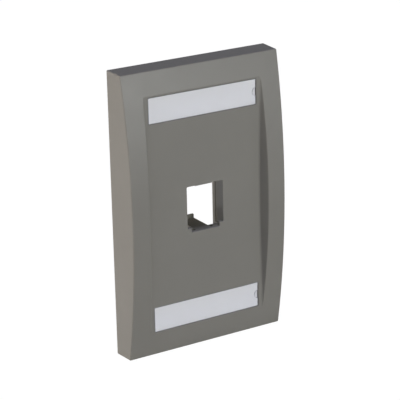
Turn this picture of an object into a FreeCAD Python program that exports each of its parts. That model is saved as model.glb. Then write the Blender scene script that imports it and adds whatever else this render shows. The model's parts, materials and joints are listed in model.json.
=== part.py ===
import FreeCAD, Part
import math
import os

# One-gang wall faceplate with one snap-in module port and two label windows.
# X is to the right as seen from the front, Z is up and Y points into the wall.
# The origin is the middle of the wall plane, so a depth in front of the wall is -Y.
# All lengths are in millimetres and all angles in degrees.

# Outline of the moulded plate
plate_width = 69.85
plate_height = 114.3
end_depth = 9.2
crown_depth = 14.8
side_lean = 2.0
corner_radius = 0.45
front_edge_radius = 0.35
rim_wall = 2.3
skin = 2.3

# Recessed flat panel between the two rails
panel_depth = 10.9
panel_half_width = 24.85
panel_flare = 0.8
flare_height = 40.0
panel_end_margin = 5.15
rail_wall_slope = 0.5
rail_foot_radius = 0.9
rail_crest_radius = 0.3

# Stiffening ribs behind the rails and the panel
rail_rib_count = 5
rail_rib_pitch = 19.0
rib_thickness = 1.2
panel_rib_offset = 14.5
panel_rib_height = 3.0

# Pitch of the two box screws
screw_pitch = 83.34

# Label pockets
pocket_pitch = 83.7
pocket_width = 48.0
pocket_height = 10.35
pocket_corner_radius = 0.6
pocket_floor_depth = 9.95
pad_margin = 2.0
pry_slot_height = 3.3
pry_slot_length = 5.0
pry_slot_drop = 0.8

# Screw bosses
boss_radius = 4.6
boss_gap_to_wall = 0.3
screw_clearance = 0.3

# Box screws
shank_radius = 1.75
neck_radius = 1.5
screw_length = 25.4
head_radius = 3.55
head_land = 0.35
head_angle = 82.0
head_sink = 0.15
slot_width = 1.0
slot_depth = 0.95
tip_chamfer = 0.6

# Label cards
card_thickness = 0.25
card_gap = 0.15
card_play = 0.05

# Clear label covers, each held by four small nibs on its long edges
cover_gap = 0.12
cover_sink = 0.1
cover_edge_chamfer = 0.1
cover_notch_radius = 1.6
nib_radius = 0.5
nib_offset = 15.0
nib_clearance = 0.04

# Port opening
port_half_width = 8.1
port_top = 9.2
port_step_height = -7.65
port_floor = -9.4
port_step_half_width = 6.3
port_corner_radius = 0.35
opening_edge_chamfer = 0.12
step_thickness = 1.4
collar_wall = 1.6
collar_rear_depth = 7.0
jamb_rear_depth = 3.05
guide_front_depth = 9.3
guide_rear_depth = 4.9
guide_recess = 0.3
catch_half_width = 4.1
catch_drop = 0.35
catch_front_depth = 10.4

# Flexible tongue under the port, and the two small holes beside its root
tongue_half_width = 3.25
tongue_thickness = 1.6
tongue_rear_depth = -4.2
tongue_lip_height = 1.55
tongue_lip_thickness = 0.9
root_hole_width = 1.3
root_hole_rear_depth = 7.6
root_hole_front_depth = 9.1

# Worked out from the sizes above
half_width = plate_width / 2
half_height = plate_height / 2
panel_cut_height = plate_height - 2 * panel_end_margin
arch_rise = crown_depth - end_depth
arch_radius = (half_height ** 2 + arch_rise ** 2) / (2 * arch_rise)
arch_axis_depth = crown_depth - arch_radius
screw_height = screw_pitch / 2
pocket_middle = pocket_pitch / 2
rail_middle = (panel_half_width + half_width) / 2
panel_rear_depth = panel_depth - skin
pad_rear_depth = pocket_floor_depth - skin
past = 5.0

ORIGIN = FreeCAD.Vector(0, 0, 0)
RIGHT = FreeCAD.Vector(1, 0, 0)
UP = FreeCAD.Vector(0, 0, 1)
TO_FRONT = FreeCAD.Vector(0, -1, 0)


def point(x, depth, z):
    """A point given by its depth in front of the wall plane."""
    return FreeCAD.Vector(x, -depth, z)


def slab(x_low, x_high, rear, front, z_low, z_high):
    """A box between two depths in front of the wall plane."""
    return Part.makeBox(x_high - x_low, front - rear, z_high - z_low, point(x_low, front, z_low))


def rounded_slab(width, height, rear, front, middle_z, radius):
    """A box centred on X = 0 whose four edges along the depth are rounded."""
    block = slab(-width / 2, width / 2, rear, front, middle_z - height / 2, middle_z + height / 2)
    along_depth = [edge for edge in block.Edges if abs(edge.tangentAt(edge.FirstParameter).y) > 0.99]
    return block.makeFillet(radius, along_depth)


def rod(radius, rear, front, x, z):
    """A cylinder that runs along the depth."""
    return Part.makeCylinder(radius, front - rear, point(x, rear, z), TO_FRONT)


def leaning_block(width, height, rear, front):
    """A block whose sides lean in towards the front; its size holds at the wall plane."""
    lean = math.tan(math.radians(side_lean))
    rear_x = width / 2 - rear * lean
    rear_z = height / 2 - rear * lean
    front_x = width / 2 - front * lean
    front_z = height / 2 - front * lean
    block = Part.makeWedge(-rear_x, 0, -rear_z, -front_z, -front_x,
                           rear_x, front - rear, rear_z, front_z, front_x)
    block.rotate(ORIGIN, UP, 180)
    block.translate(point(0, rear, 0))
    return block


def under_arch(radius):
    """All that lies behind an arc of this radius about the arch's own axis."""
    side = half_width + past
    reach = half_height + past
    reach_depth = arch_axis_depth + math.sqrt(radius ** 2 - reach ** 2)
    low_rear = point(-side, -past, -reach)
    low_front = point(-side, reach_depth, -reach)
    crown = point(-side, arch_axis_depth + radius, 0)
    high_front = point(-side, reach_depth, reach)
    high_rear = point(-side, -past, reach)
    outline = Part.Wire([
        Part.LineSegment(low_rear, low_front).toShape(),
        Part.Arc(low_front, crown, high_front).toShape(),
        Part.LineSegment(high_front, high_rear).toShape(),
        Part.LineSegment(high_rear, low_rear).toShape(),
    ])
    return Part.Face(outline).extrude(RIGHT * (2 * side))


def panel_outline(depth, growth):
    """Outline of the panel recess at one depth: two bowed sides and two straight ends."""
    middle = panel_half_width + rail_wall_slope * (depth - panel_depth) + growth
    bow_radius = (flare_height ** 2 + panel_flare ** 2) / (2 * panel_flare)
    end_z = panel_cut_height / 2
    end = middle + bow_radius - math.sqrt(bow_radius ** 2 - end_z ** 2)
    right_low = point(end, depth, -end_z)
    right_high = point(end, depth, end_z)
    left_high = point(-end, depth, end_z)
    left_low = point(-end, depth, -end_z)
    return Part.Wire([
        Part.Arc(right_low, point(middle, depth, 0), right_high).toShape(),
        Part.LineSegment(right_high, left_high).toShape(),
        Part.Arc(left_high, point(-middle, depth, 0), left_low).toShape(),
        Part.LineSegment(left_low, right_low).toShape(),
    ])


def panel_block(rear, growth):
    """The space in front of the panel, or with growth the plastic kept behind it."""
    front = crown_depth + past
    return Part.makeLoft([panel_outline(rear, growth), panel_outline(front, growth)], True, True)


def edges_at(shape, test):
    """The edges whose middle passes the test."""
    chosen = []
    for edge in shape.Edges:
        middle = edge.valueAt((edge.FirstParameter + edge.LastParameter) / 2)
        if test(middle, edge):
            chosen.append(edge)
    return chosen


def is_along_depth(middle, edge):
    return abs(edge.tangentAt(edge.FirstParameter).y) > 0.9


def is_on_front(middle, edge):
    return middle.y < -end_depth / 2


def outer_body():
    """The arched block with its rounded corners and front edges."""
    body = leaning_block(plate_width, plate_height, 0, crown_depth + past)
    body = body.makeFillet(corner_radius, edges_at(body, is_along_depth))
    body = body.common(under_arch(arch_radius))
    return body.makeFillet(front_edge_radius, edges_at(body, is_on_front))


def cut_panel(body):
    """Sinks the flat panel between two rails, with rounded feet and crests."""
    recess = panel_block(panel_depth, 0)

    def is_rail_foot(middle, edge):
        return abs(middle.y + panel_depth) < 0.01 and abs(middle.x) > 1 and edge.Length > flare_height

    def is_rail_crest(middle, edge):
        return middle.y < -panel_depth and abs(middle.x) < rail_middle and edge.Length > flare_height

    recess = recess.makeFillet(rail_foot_radius, edges_at(recess, is_rail_foot))
    body = body.cut(recess)
    return body.makeFillet(rail_crest_radius, edges_at(body, is_rail_crest))


def back_hollow():
    """The open back: inside the rim, under the arch and behind the panel."""
    hollow = leaning_block(plate_width - 2 * rim_wall, plate_height - 2 * rim_wall,
                           -past, crown_depth + past)
    hollow = hollow.common(under_arch(arch_radius - skin))
    growth = skin * math.sqrt(1 + rail_wall_slope ** 2)
    return hollow.cut(panel_block(panel_rear_depth, growth))


def rail_ribs():
    """Cross ribs that fill each rail's hollow down to the back of the panel."""
    ribs = []
    low = -(rail_rib_count - 1) / 2 * rail_rib_pitch
    for index in range(rail_rib_count):
        z = low + index * rail_rib_pitch
        for side in (-1, 1):
            near = side * (panel_half_width - rail_wall_slope * skin)
            far = side * (half_width - rim_wall / 2)
            ribs.append(slab(min(near, far), max(near, far), panel_rear_depth, crown_depth,
                             z - rib_thickness / 2, z + rib_thickness / 2))
    keep = leaning_block(plate_width - rim_wall, plate_height - rim_wall, 0, crown_depth + past)
    keep = keep.common(under_arch(arch_radius - skin / 2))
    growth = skin / 2 * math.sqrt(1 + rail_wall_slope ** 2)
    keep = keep.cut(panel_block(panel_depth - skin / 2, growth))
    return [rib.common(keep) for rib in ribs]


def panel_ribs():
    """Two upright ribs behind the panel that join the pads of the label pockets."""
    ribs = []
    top = pocket_middle - pocket_height / 2
    for side in (-1, 1):
        middle = side * panel_rib_offset
        ribs.append(slab(middle - rib_thickness / 2, middle + rib_thickness / 2,
                         panel_rear_depth - panel_rib_height, panel_rear_depth + skin / 2, -top, top))
    return ribs


def screw_support(side):
    """The pad behind the upper (1) or lower (-1) label pocket and the boss round its screw."""
    pad = rounded_slab(pocket_width + pad_margin, pocket_height + 2 * pad_margin,
                       pad_rear_depth, panel_rear_depth + skin / 2,
                       side * pocket_middle, pocket_corner_radius + pad_margin)
    boss = rod(boss_radius, boss_gap_to_wall, pad_rear_depth + skin / 2, 0, side * screw_height)
    return [pad, boss]


def label_pocket(z):
    """The sunk seat of one label, with the pry slot in the floor at its right end."""
    front = crown_depth
    pocket = rounded_slab(pocket_width, pocket_height, pocket_floor_depth, front, z, pocket_corner_radius)
    slot = slab(pocket_width / 2 - pry_slot_length, pocket_width / 2,
                pocket_floor_depth - pry_slot_drop, front,
                z - pry_slot_height / 2, z + pry_slot_height / 2)
    return pocket.fuse(slot)


def cone_depth(narrow, wide):
    """Length of the cone under a screw head between two radii."""
    return (wide - narrow) / math.tan(math.radians(head_angle / 2))


def screw_hole(z):
    """Clearance hole and countersink for one box screw."""
    narrow = shank_radius + screw_clearance
    wide = head_radius + screw_clearance
    mouth = pocket_floor_depth - head_sink - head_land
    length = cone_depth(narrow, wide)
    sink = Part.makeCone(narrow, wide, length, point(0, mouth - length, z), TO_FRONT)
    return rod(narrow, -past, crown_depth, 0, z).fuse(sink).fuse(rod(wide, mouth, crown_depth, 0, z))


def port_cut():
    """The opening: a wide part, a narrower foot, and a rebate behind its two steps."""
    front = crown_depth
    rear = -past
    wide = rounded_slab(2 * port_half_width, port_top - port_step_height, rear, front,
                        (port_top + port_step_height) / 2, port_corner_radius)
    foot = rounded_slab(2 * port_step_half_width, port_step_height - port_floor + past, rear, front,
                        port_floor + (port_step_height - port_floor + past) / 2, port_corner_radius)
    rebate = slab(-port_half_width, port_half_width, rear, panel_depth - step_thickness,
                  port_floor, port_step_height + past)
    return wide.fuse(foot).fuse(rebate)


def port_collar():
    """Walls behind the panel round the opening: floor, ceiling and two deep jambs."""
    outer = port_half_width + collar_wall
    low = port_floor - collar_wall
    high = port_top + collar_wall
    front = panel_rear_depth + skin / 2
    ring = slab(-outer, outer, collar_rear_depth, front, low, high)
    jambs = [slab(min(side * port_half_width, side * outer), max(side * port_half_width, side * outer),
                  jamb_rear_depth, front, low, high) for side in (-1, 1)]
    return [ring] + jambs


def jamb_guides():
    """Shallow recesses in the jambs that guide the sides of a module."""
    width = port_half_width + guide_recess
    return slab(-width, width, guide_rear_depth, guide_front_depth, port_floor, port_top)


def ceiling_catch():
    """The low ledge under the ceiling that a module's latch holds on to."""
    return slab(-catch_half_width, catch_half_width, collar_rear_depth, catch_front_depth,
                port_top - catch_drop, port_top + collar_wall / 2)


def root_holes():
    """Two small square holes through the collar's floor beside the root of the tongue."""
    holes = []
    for side in (-1, 1):
        near = side * tongue_half_width
        far = side * (tongue_half_width + root_hole_width)
        holes.append(slab(min(near, far), max(near, far), root_hole_rear_depth, root_hole_front_depth,
                          port_floor - 2 * collar_wall, port_floor + collar_wall / 2))
    return holes


def tongue():
    """The springy tongue that runs back from the floor and ends in an upturned lip."""
    blade = slab(-tongue_half_width, tongue_half_width, tongue_rear_depth, collar_rear_depth + skin / 2,
                 port_floor - tongue_thickness, port_floor)
    lip = slab(-tongue_half_width, tongue_half_width, tongue_rear_depth,
               tongue_rear_depth + tongue_lip_thickness, port_floor - tongue_thickness,
               port_floor + tongue_lip_height)
    return blade.fuse(lip)


def break_opening_edges(body):
    """Takes the sharp edge off the port and the label pockets where they meet the flat panel."""

    def is_rim(middle, edge):
        return abs(middle.y + panel_depth) < 0.01 and edge.Length < pocket_width

    return body.makeChamfer(opening_edge_chamfer, edges_at(body, is_rim))


def faceplate():
    """The whole moulding, one solid."""
    body = cut_panel(outer_body()).cut(back_hollow())
    added = rail_ribs() + panel_ribs() + port_collar() + screw_support(1) + screw_support(-1)
    body = body.fuse(added)
    cuts = [port_cut(), jamb_guides()] + root_holes()
    for side in (-1, 1):
        cuts += [label_pocket(side * pocket_middle), screw_hole(side * screw_height)]
    body = body.cut(cuts)
    body = break_opening_edges(body.removeSplitter())
    return body.fuse([ceiling_catch(), tongue()]).removeSplitter()


def cover_nibs(rear, front, z):
    """Four half-round nibs that stand out from a cover's long edges, just short of the pocket."""
    reach = pocket_height / 2 - nib_clearance - nib_radius
    return [rod(nib_radius, rear, front, side * nib_offset, z + level * reach)
            for side in (-1, 1) for level in (-1, 1)]


def label_cover(z):
    """A clear snap-in window with a half-round pry notch and nibs on its long edges."""
    front = panel_depth - cover_sink
    rear = pocket_floor_depth + card_thickness + card_play
    width = pocket_width - 2 * cover_gap
    height = pocket_height - 2 * cover_gap
    window = rounded_slab(width, height, rear, front, z, pocket_corner_radius - cover_gap)
    window = window.cut(rod(cover_notch_radius, rear - past, front + past, width / 2, z))

    def is_front_edge(middle, edge):
        return abs(middle.y + front) < 0.01

    window = window.makeChamfer(cover_edge_chamfer, edges_at(window, is_front_edge))
    return window.fuse(cover_nibs(rear, front - cover_edge_chamfer, z)).removeSplitter()


def label_card(z):
    """The paper strip under a cover."""
    return rounded_slab(pocket_width - 2 * card_gap, pocket_height - 2 * card_gap, pocket_floor_depth,
                        pocket_floor_depth + card_thickness, z, pocket_corner_radius - card_gap)


def box_screw(z):
    """A slotted countersunk screw with a plain neck in the plate and its thread in the wall box."""
    top = pocket_floor_depth - head_sink
    under = top - head_land - cone_depth(neck_radius, head_radius)
    tip = top - screw_length
    profile = Part.makePolygon([
        point(0, tip, z),
        point(shank_radius - tip_chamfer, tip, z),
        point(shank_radius, tip + tip_chamfer, z),
        point(shank_radius, 0, z),
        point(neck_radius, shank_radius - neck_radius, z),
        point(neck_radius, under, z),
        point(head_radius, top - head_land, z),
        point(head_radius, top, z),
        point(0, top, z),
        point(0, tip, z),
    ])
    screw = Part.Face(profile).revolve(point(0, 0, z), TO_FRONT, 360)
    slot = slab(-slot_width / 2, slot_width / 2, top - slot_depth, top + past,
                z - 2 * head_radius, z + 2 * head_radius)
    return screw.cut(slot)


def save(name, shape):
    """Writes one solid and says what it measures."""
    solids = shape.Solids
    if len(solids) != 1 or not shape.isValid():
        raise ValueError(name + " is not one sound solid")
    solids[0].exportStep(os.path.join("parts", name + ".step"))
    box = shape.BoundBox
    print(name, "volume", round(shape.Volume, 2), "x", round(box.XMin, 3), round(box.XMax, 3),
          "y", round(box.YMin, 3), round(box.YMax, 3), "z", round(box.ZMin, 3), round(box.ZMax, 3))


os.makedirs("parts", exist_ok=True)
save("faceplate", faceplate())
for place, side in (("top", 1), ("bottom", -1)):
    save("label_cover_" + place, label_cover(side * pocket_middle))
    save("label_card_" + place, label_card(side * pocket_middle))
    save("mounting_screw_" + place, box_screw(side * screw_height))
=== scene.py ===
import json
import math

import bmesh
import bpy
from mathutils import Matrix, Vector

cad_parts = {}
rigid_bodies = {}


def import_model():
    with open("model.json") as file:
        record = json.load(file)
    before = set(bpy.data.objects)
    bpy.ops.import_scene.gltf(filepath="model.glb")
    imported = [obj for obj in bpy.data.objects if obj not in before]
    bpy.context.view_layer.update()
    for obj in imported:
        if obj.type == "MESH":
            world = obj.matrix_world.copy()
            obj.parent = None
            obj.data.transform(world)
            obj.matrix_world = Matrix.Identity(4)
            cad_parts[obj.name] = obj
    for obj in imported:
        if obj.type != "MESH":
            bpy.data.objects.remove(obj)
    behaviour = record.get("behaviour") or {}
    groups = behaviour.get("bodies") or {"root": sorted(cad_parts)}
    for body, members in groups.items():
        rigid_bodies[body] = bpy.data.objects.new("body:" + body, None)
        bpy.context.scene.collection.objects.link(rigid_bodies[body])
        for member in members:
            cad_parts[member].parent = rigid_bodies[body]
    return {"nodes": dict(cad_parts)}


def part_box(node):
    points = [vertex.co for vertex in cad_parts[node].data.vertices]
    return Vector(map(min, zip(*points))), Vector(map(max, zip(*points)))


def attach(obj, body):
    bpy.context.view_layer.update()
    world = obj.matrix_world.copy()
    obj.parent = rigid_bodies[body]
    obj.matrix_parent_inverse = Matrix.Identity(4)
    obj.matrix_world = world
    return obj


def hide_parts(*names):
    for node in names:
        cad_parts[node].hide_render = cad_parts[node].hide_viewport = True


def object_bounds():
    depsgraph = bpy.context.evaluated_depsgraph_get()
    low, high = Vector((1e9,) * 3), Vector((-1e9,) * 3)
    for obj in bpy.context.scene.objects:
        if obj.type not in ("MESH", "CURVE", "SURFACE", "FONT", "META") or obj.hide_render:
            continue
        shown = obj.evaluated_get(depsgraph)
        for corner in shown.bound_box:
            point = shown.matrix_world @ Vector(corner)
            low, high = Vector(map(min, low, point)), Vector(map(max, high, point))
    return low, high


# A wall faceplate for one snap-in module, seen from its front left and a little above.
# All lengths are in metres in the frame of the CAD model: X right, Z up, Y into the wall.

MM = 0.001
WHITE = (1.0, 1.0, 1.0)

# Camera, worked out from the plate's corners and edges in the photograph; angles in degrees
CAMERA_AZIMUTH = -31.356
CAMERA_ELEVATION = 19.002
CAMERA_ROLL = -1.267
CAMERA_DISTANCE = 676.12 * MM
CAMERA_RIGHT = 3.667 * MM
CAMERA_UP = -0.470 * MM
CAMERA_CLIP_START = 50 * MM
FOCAL_LENGTH_IN_PIXELS = 1734.2
PICTURE_WIDTH_IN_PIXELS = 400
SENSOR_WIDTH_MM = 36.0

# Square studio lamps, which all point at the plate's middle: name, azimuth, elevation, watts
# and colour. Azimuth 0 is straight in front of the plate, and -90 is on its left.
LAMP_DISTANCE = 1.4
LAMP_SIDE = 0.35
LAMPS = (
    ("left", -95, 10, 12.7, (1.055, 0.985, 0.95)),
    ("front", 19, 4, 8.9, (0.97, 1.0, 0.985)),
    ("overhead", 0, 82, 6.7, (0.93, 1.0, 1.44)),
    ("high_left", -45, 50, 1.8, WHITE),
    ("right", 100, 10, 1.8, WHITE),
    ("back", 180, 8, 8.0, WHITE),
)

# Room round the plate: white up to the top of the horizon, dim from a little above it, in degrees
ROOM_LEVEL = 0.03
ROOM_COLOUR = (0.94, 0.96, 1.0)
HORIZON_TOP = 0.5
DIM_FROM = 4.0

# Floor: the matt share takes the shadow, and the glow makes the rest white to the eye
FLOOR_SIDE = 8.0
FLOOR_COLOUR = (0.86, 0.86, 0.86)
FLOOR_GLOW_SHARE = 0.975
FLOOR_GLOW_STRENGTH = 1.02

# Each noise below is its features to a metre, its detail and its roughness, and each relief
# is its height and its strength. Noise mostly lies between these two values.
NOISE_LOW = 0.3
NOISE_HIGH = 0.7

# Moulded plastic
PLASTIC_COLOUR = (0.199, 0.189, 0.160)
PLASTIC_CLOUDS = (45, 3, 0.55)
PLASTIC_CLOUD_STEP = 0.025
PLASTIC_ROUGHNESS = 0.34
PLASTIC_PATCHES = (160, 2, 0.5)
PLASTIC_PATCH_STEP = 0.03
PLASTIC_GRAIN = (5200, 2, 0.6)
PLASTIC_RELIEF = (0.012 * MM, 0.5)
PLASTIC_IOR = 1.46
PLASTIC_SPECULAR = 0.25

# Clear plastic, with painted shade on the narrow walls: a dark matt colour in place of the light
# that refracting edges lose. What tells a wall from a face is the part of the surface's normal
# that lies along the depth.
CLEAR_COLOUR = (0.98, 0.985, 0.99)
CLEAR_ROUGHNESS = 0.06
CLEAR_IOR = 1.49
CLEAR_WAVES = (90, 1, 0.4)
CLEAR_RELIEF = (0.02 * MM, 0.3)
PAINTED_EDGE_SHADE_COLOUR = (0.22, 0.22, 0.23)
PAINTED_EDGE_SHADE_SHARE = 0.85
WALL_UP_TO = 0.75
FACE_FROM = 0.9

# Paper
PAPER_COLOURS = ((0.655, 0.646, 0.643), (0.695, 0.687, 0.683))
PAPER_ROUGHNESS = 0.7
PAPER_FIBRES = (2500, 4, 0.6)
PAPER_RELIEF = (0.01 * MM, 0.4)

# Zinc-plated steel
ZINC_COLOURS = ((0.56, 0.56, 0.53), (0.66, 0.66, 0.64))
ZINC_ROUGHNESS = (0.26, 0.38)
ZINC_CLOUDS = (900, 3, 0.6)
ZINC_GRAIN = (6000, 2, 0.5)
ZINC_RELIEF = (0.006 * MM, 0.5)

# Screw, with the fine right-hand thread of the common small screws for wall boxes
SHANK_RADIUS = 1.75 * MM
NECK_RADIUS = 1.5 * MM
HEAD_RADIUS = 3.55 * MM
HEAD_LAND = 0.35 * MM
HEAD_CONE = 2.3 * MM
HEAD_EDGE = 0.08 * MM
SLOT_WIDTH = 1.0 * MM
SLOT_DEPTH = 0.95 * MM
THREAD_PITCH = 0.794 * MM
THREAD_DEPTH = 0.42 * MM
THREAD_STEEPNESS = 1.25
THREAD_FLAT = 0.1
THREAD_RUN_OUT = 0.8 * MM
TIP_CHAMFER = 0.6 * MM
AROUND = 40
STEPS_A_PITCH = 8
SHARP_ANGLE = 38


def remove_startup_objects():
    """Empties the scene that Blender opens with."""
    for thing in list(bpy.data.objects):
        bpy.data.objects.remove(thing, do_unlink=True)


def new_object(name, data):
    """Puts a mesh, a light or a camera into the scene as an object."""
    thing = bpy.data.objects.new(name, data)
    bpy.context.scene.collection.objects.link(thing)
    return thing


def direction(azimuth, elevation):
    """Unit vector from the plate's middle towards an azimuth and elevation in degrees."""
    a = math.radians(azimuth)
    e = math.radians(elevation)
    return Vector((math.sin(a) * math.cos(e), -math.cos(a) * math.cos(e), math.sin(e)))


# Materials


def scaled(colour, factor):
    return tuple(part * factor for part in colour)


def mix_colours(tree, factor, first, second):
    """A colour between two, by a factor socket."""
    mix = tree.nodes.new("ShaderNodeMix")
    mix.data_type = "RGBA"
    tree.links.new(factor, mix.inputs["Factor"])
    ends = [socket for socket in mix.inputs if socket.type == "RGBA"]
    for end, colour in zip(ends, (first, second)):
        if isinstance(colour, tuple):
            end.default_value = (*colour, 1)
        else:
            tree.links.new(colour, end)
    return [socket for socket in mix.outputs if socket.type == "RGBA"][0]


def any_ray(tree, names):
    """1 for a ray of any of the named kinds."""
    rays = tree.nodes.new("ShaderNodeLightPath")
    total = rays.outputs[names[0]]
    for name in names[1:]:
        join = tree.nodes.new("ShaderNodeMath")
        join.operation = "MAXIMUM"
        tree.links.new(total, join.inputs[0])
        tree.links.new(rays.outputs[name], join.inputs[1])
        total = join.outputs["Value"]
    return total


class Nodes:
    """Short calls for building one material's node tree."""

    def __init__(self, name):
        self.material = bpy.data.materials.new(name)
        self.material.use_nodes = True
        self.tree = self.material.node_tree
        self.tree.nodes.clear()
        self.output = self.add("ShaderNodeOutputMaterial")

    def add(self, kind, sockets=None, **settings):
        """Adds a node, sets its settings, and sets its input sockets by name."""
        node = self.tree.nodes.new(kind)
        for key, value in settings.items():
            setattr(node, key, value)
        for key, value in (sockets or {}).items():
            node.inputs[key].default_value = value
        return node

    def link(self, source, target):
        self.tree.links.new(source, target)

    def noise(self, scale, detail, roughness):
        """Noise in the piece's own coordinates, with about `scale` features to a metre."""
        node = self.add("ShaderNodeTexNoise", {"Scale": scale, "Detail": detail, "Roughness": roughness})
        self.link(self.add("ShaderNodeTexCoord").outputs["Object"], node.inputs["Vector"])
        return node.outputs["Fac"]

    def map_range(self, value, from_low, from_high, to_low, to_high):
        """A socket's value, carried from one range onto another and held to it."""
        node = self.add("ShaderNodeMapRange", {"From Min": from_low, "From Max": from_high,
                                               "To Min": to_low, "To Max": to_high})
        self.link(value, node.inputs["Value"])
        return node.outputs["Result"]

    def spread(self, noise, low, high):
        """Noise spread over a range."""
        return self.map_range(noise, NOISE_LOW, NOISE_HIGH, low, high)

    def bump(self, height, distance, strength):
        """Surface normal from a height socket; distance is the relief in metres."""
        node = self.add("ShaderNodeBump", {"Strength": strength, "Distance": distance})
        self.link(height, node.inputs["Height"])
        return node.outputs["Normal"]

    def sheet_edge(self, share):
        """The share on the narrow walls of a sheet that lies across the depth, and 0 on its faces."""
        split = self.add("ShaderNodeSeparateXYZ")
        self.link(self.add("ShaderNodeTexCoord").outputs["Normal"], split.inputs["Vector"])
        depth = self.add("ShaderNodeMath", operation="ABSOLUTE")
        self.link(split.outputs["Y"], depth.inputs[0])
        return self.map_range(depth.outputs["Value"], WALL_UP_TO, FACE_FROM, share, 0.0)

    def mix(self, factor, first, second):
        """A shader between two, by a factor socket."""
        node = self.add("ShaderNodeMixShader")
        self.link(factor, node.inputs["Fac"])
        self.link(first, node.inputs[1])
        self.link(second, node.inputs[2])
        return node.outputs["Shader"]

    def show(self, shader):
        """Makes a shader the material's surface, and gives the material."""
        self.link(shader, self.output.inputs["Surface"])
        return self.material


def moulded_plastic():
    """Warm dark grey plastic: faintly cloudy, unevenly smooth, with a fine spark-eroded grain."""
    n = Nodes("moulded_plastic")
    shader = n.add("ShaderNodeBsdfPrincipled",
                   {"IOR": PLASTIC_IOR, "Specular IOR Level": PLASTIC_SPECULAR})
    colour = mix_colours(n.tree, n.spread(n.noise(*PLASTIC_CLOUDS), 0, 1),
                         scaled(PLASTIC_COLOUR, 1 - PLASTIC_CLOUD_STEP),
                         scaled(PLASTIC_COLOUR, 1 + PLASTIC_CLOUD_STEP))
    roughness = n.spread(n.noise(*PLASTIC_PATCHES), PLASTIC_ROUGHNESS - PLASTIC_PATCH_STEP,
                         PLASTIC_ROUGHNESS + PLASTIC_PATCH_STEP)
    n.link(colour, shader.inputs["Base Color"])
    n.link(roughness, shader.inputs["Roughness"])
    n.link(n.bump(n.noise(*PLASTIC_GRAIN), *PLASTIC_RELIEF), shader.inputs["Normal"])
    return n.show(shader.outputs["BSDF"])


def clear_plastic():
    """Clear acrylic with painted shade on its narrow walls; lamps and scattered light pass straight
    through it.
    """
    n = Nodes("clear_plastic")
    glass = n.add("ShaderNodeBsdfPrincipled",
                  {"Base Color": (*CLEAR_COLOUR, 1), "Roughness": CLEAR_ROUGHNESS, "IOR": CLEAR_IOR,
                   "Transmission Weight": 1.0})
    n.link(n.bump(n.noise(*CLEAR_WAVES), *CLEAR_RELIEF), glass.inputs["Normal"])
    # Painted shade: a dark matt colour on the narrow walls, in place of the darkness of refracting edges.
    painted_edge_shade = n.add("ShaderNodeBsdfDiffuse", {"Color": (*PAINTED_EDGE_SHADE_COLOUR, 1)})
    open_way = n.add("ShaderNodeBsdfTransparent").outputs["BSDF"]
    rays = n.add("ShaderNodeLightPath")
    shader = n.mix(n.sheet_edge(PAINTED_EDGE_SHADE_SHARE), glass.outputs["BSDF"], painted_edge_shade.outputs["BSDF"])
    for name in ("Is Shadow Ray", "Is Diffuse Ray"):
        shader = n.mix(rays.outputs[name], shader, open_way)
    return n.show(shader)


def card_paper():
    """Smooth white card with a faint fibre."""
    n = Nodes("card_paper")
    shader = n.add("ShaderNodeBsdfPrincipled", {"Roughness": PAPER_ROUGHNESS})
    fibre = n.noise(*PAPER_FIBRES)
    n.link(mix_colours(n.tree, n.spread(fibre, 0, 1), *PAPER_COLOURS), shader.inputs["Base Color"])
    n.link(n.bump(fibre, *PAPER_RELIEF), shader.inputs["Normal"])
    return n.show(shader.outputs["BSDF"])


def zinc_steel():
    """Bright zinc plating with a fine grain and a little unevenness."""
    n = Nodes("zinc_steel")
    shader = n.add("ShaderNodeBsdfPrincipled", {"Metallic": 1.0})
    cloud = n.noise(*ZINC_CLOUDS)
    n.link(mix_colours(n.tree, n.spread(cloud, 0, 1), *ZINC_COLOURS), shader.inputs["Base Color"])
    n.link(n.spread(cloud, *ZINC_ROUGHNESS), shader.inputs["Roughness"])
    n.link(n.bump(n.noise(*ZINC_GRAIN), *ZINC_RELIEF), shader.inputs["Normal"])
    return n.show(shader.outputs["BSDF"])


def pale_floor():
    """A pale floor, nearly white to the eye, that keeps a soft shadow and is clear from below."""
    n = Nodes("pale_floor")
    matt = n.add("ShaderNodeBsdfDiffuse", {"Color": (*FLOOR_COLOUR, 1)})
    glow = n.add("ShaderNodeEmission", {"Color": (*WHITE, 1), "Strength": FLOOR_GLOW_STRENGTH})
    share = n.add("ShaderNodeMath", operation="MULTIPLY")
    n.link(any_ray(n.tree, ("Is Camera Ray", "Is Glossy Ray", "Is Transmission Ray")), share.inputs[0])
    share.inputs[1].default_value = FLOOR_GLOW_SHARE
    lit = n.mix(share.outputs["Value"], matt.outputs["BSDF"], glow.outputs["Emission"])
    below = n.add("ShaderNodeNewGeometry").outputs["Backfacing"]
    return n.show(n.mix(below, lit, n.add("ShaderNodeBsdfTransparent").outputs["BSDF"]))


def dress(piece, material):
    """Gives a piece one material in all its slots."""
    if not piece.material_slots:
        piece.data.materials.append(material)
    for slot in piece.material_slots:
        slot.material = material


# Screws


def angle_at(step):
    """Angle of one of the steps round a screw."""
    return 2 * math.pi * step / AROUND


def screw_radius(y, angle, tip_y):
    """Radius of the threaded part at one place; going in, a right-hand thread turns clockwise."""
    turn = y / THREAD_PITCH + angle / (2 * math.pi)
    wave = abs((turn % 1.0) * 2 - 1)
    cut = THREAD_DEPTH * min(1.0, max(0.0, THREAD_STEEPNESS * wave - THREAD_FLAT))
    cut *= min(1.0, y / THREAD_RUN_OUT)
    chamfered = SHANK_RADIUS - TIP_CHAMFER + max(0.0, tip_y - y)
    return min(SHANK_RADIUS - cut, chamfered)


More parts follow.
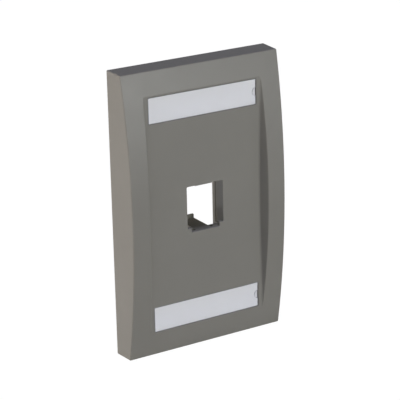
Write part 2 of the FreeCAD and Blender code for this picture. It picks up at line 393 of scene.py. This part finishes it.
def screw_rings(top, tip):
    """Rings of one screw from its top face to its tip: each a depth and radii round it."""
    plain_part = (
        (top, HEAD_RADIUS - HEAD_EDGE),
        (top + HEAD_EDGE, HEAD_RADIUS),
        (top + HEAD_LAND, HEAD_RADIUS),
        (top + HEAD_LAND + HEAD_CONE, NECK_RADIUS),
        (NECK_RADIUS - SHANK_RADIUS, NECK_RADIUS),
        (0.0, SHANK_RADIUS),
    )
    rings = [(y, [radius] * AROUND) for y, radius in plain_part]
    count = int(tip / (THREAD_PITCH / STEPS_A_PITCH))
    for index in range(1, count + 1):
        y = tip * index / count
        rings.append((y, [screw_radius(y, angle_at(step), tip) for step in range(AROUND)]))
    return rings


def screw_mesh(name, middle, rings):
    """A closed mesh round the rings, with a flat face at each end."""
    mesh = bmesh.new()
    previous = None
    for y, radii in rings:
        ring = []
        for step, radius in enumerate(radii):
            angle = angle_at(step)
            ring.append(mesh.verts.new((middle.x + radius * math.cos(angle), y,
                                        middle.z + radius * math.sin(angle))))
        if previous is None:
            mesh.faces.new(ring)
        else:
            for step in range(AROUND):
                mesh.faces.new((previous[step], ring[step], ring[step - 1], previous[step - 1]))
        previous = ring
    mesh.faces.new(list(reversed(previous)))
    bmesh.ops.recalc_face_normals(mesh, faces=mesh.faces)
    data = bpy.data.meshes.new(name)
    mesh.to_mesh(data)
    mesh.free()
    return data


def cut_slot(piece, middle, top):
    """Cuts the driver's slot right across the head."""
    cutter_mesh = bpy.data.meshes.new("slot_cutter")
    cutter = new_object("slot_cutter", cutter_mesh)
    box = bmesh.new()
    bmesh.ops.create_cube(box, size=1.0)
    size = Matrix.Diagonal((SLOT_WIDTH, 2 * SLOT_DEPTH, 4 * HEAD_RADIUS, 1))
    bmesh.ops.transform(box, matrix=Matrix.Translation((middle.x, top, middle.z)) @ size, verts=box.verts)
    box.to_mesh(cutter_mesh)
    box.free()
    boolean = piece.modifiers.new("slot", "BOOLEAN")
    boolean.operation = "DIFFERENCE"
    boolean.solver = "EXACT"
    boolean.object = cutter
    bpy.context.view_layer.update()
    evaluated = piece.evaluated_get(bpy.context.evaluated_depsgraph_get())
    finished = bpy.data.meshes.new_from_object(evaluated)
    piece.modifiers.clear()
    piece.data = finished
    bpy.data.objects.remove(cutter, do_unlink=True)


def screw_piece(name, node, material):
    """A slotted countersunk screw with a real thread, in the place of its CAD node."""
    low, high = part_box(node)
    middle = (low + high) / 2
    piece = new_object(name, screw_mesh(name, middle, screw_rings(low.y, high.y)))
    cut_slot(piece, middle, low.y)
    piece.data.shade_smooth()
    piece.data.set_sharp_from_angle(angle=math.radians(SHARP_ANGLE))
    dress(piece, material)
    return piece


def add_screws():
    """Puts a threaded screw in the place of each plain one."""
    steel = zinc_steel()
    for place in ("top", "bottom"):
        node = "mounting_screw_" + place
        piece = screw_piece("screw_" + place, node, steel)
        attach(piece, "plate")
        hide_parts(node)


# Scene


def dress_nodes(nodes):
    """Gives every CAD node that stays its procedural material."""
    plastic = moulded_plastic()
    clear = clear_plastic()
    paper = card_paper()
    dress(nodes["faceplate"], plastic)
    for place in ("top", "bottom"):
        dress(nodes["label_cover_" + place], clear)
        dress(nodes["label_card_" + place], paper)


def add_floor(height):
    """A large floor on which the plate stands."""
    data = bpy.data.meshes.new("floor")
    half = FLOOR_SIDE / 2
    corners = [(-half, -half, height), (half, -half, height), (half, half, height), (-half, half, height)]
    data.from_pydata(corners, [], [(0, 1, 2, 3)])
    floor = new_object("floor", data)
    dress(floor, pale_floor())


def add_lamps():
    for name, azimuth, elevation, watts, colour in LAMPS:
        data = bpy.data.lights.new(name, "AREA")
        data.shape = "SQUARE"
        data.size = LAMP_SIDE
        data.energy = watts
        data.color = colour
        place = direction(azimuth, elevation) * LAMP_DISTANCE
        lamp = new_object(name, data)
        lamp.location = place
        lamp.rotation_euler = (-place).to_track_quat("-Z", "Y").to_euler()


def set_world():
    """White to the camera and through clear plastic; for all other rays a dim room over a white
    horizon, which keeps the plate's top face as dark as in the photograph."""
    world = bpy.data.worlds.new("studio")
    world.use_nodes = True
    tree = world.node_tree
    tree.nodes.clear()
    output = tree.nodes.new("ShaderNodeOutputWorld")
    background = tree.nodes.new("ShaderNodeBackground")
    place = tree.nodes.new("ShaderNodeTexCoord")
    split = tree.nodes.new("ShaderNodeSeparateXYZ")
    fade = tree.nodes.new("ShaderNodeMapRange")
    fade.inputs["From Min"].default_value = math.sin(math.radians(HORIZON_TOP))
    fade.inputs["From Max"].default_value = math.sin(math.radians(DIM_FROM))
    tree.links.new(place.outputs["Generated"], split.inputs["Vector"])
    tree.links.new(split.outputs["Z"], fade.inputs["Value"])
    room = mix_colours(tree, fade.outputs["Result"], WHITE, scaled(ROOM_COLOUR, ROOM_LEVEL))
    seen = any_ray(tree, ("Is Camera Ray", "Is Transmission Ray"))
    tree.links.new(mix_colours(tree, seen, room, WHITE), background.inputs["Color"])
    tree.links.new(background.outputs["Background"], output.inputs["Surface"])
    bpy.context.scene.world = world


def add_camera():
    """The photograph's view of the plate."""
    back = direction(CAMERA_AZIMUTH, CAMERA_ELEVATION)
    level_right = Vector((0, 0, 1)).cross(back).normalized()
    level_up = back.cross(level_right)
    roll = math.radians(CAMERA_ROLL)
    right = level_right * math.cos(roll) + level_up * math.sin(roll)
    up = level_up * math.cos(roll) - level_right * math.sin(roll)
    place = back * CAMERA_DISTANCE + right * CAMERA_RIGHT + up * CAMERA_UP
    data = bpy.data.cameras.new("camera")
    data.sensor_width = SENSOR_WIDTH_MM
    data.lens = FOCAL_LENGTH_IN_PIXELS / PICTURE_WIDTH_IN_PIXELS * SENSOR_WIDTH_MM
    data.clip_start = CAMERA_CLIP_START
    camera = new_object("camera", data)
    axes = Matrix((right, up, back)).transposed().to_4x4()
    camera.matrix_world = Matrix.Translation(place) @ axes
    bpy.context.scene.camera = camera


def plain(box):
    """A box's two corners as lists of numbers."""
    return [list(corner) for corner in box]


remove_startup_objects()
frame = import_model()
cad_box = plain(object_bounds())
floor_height = cad_box[0][2]
add_camera()
dress_nodes(frame["nodes"])
add_screws()
add_floor(floor_height)
add_lamps()
set_world()
bpy.context.scene.view_settings.view_transform = "Standard"
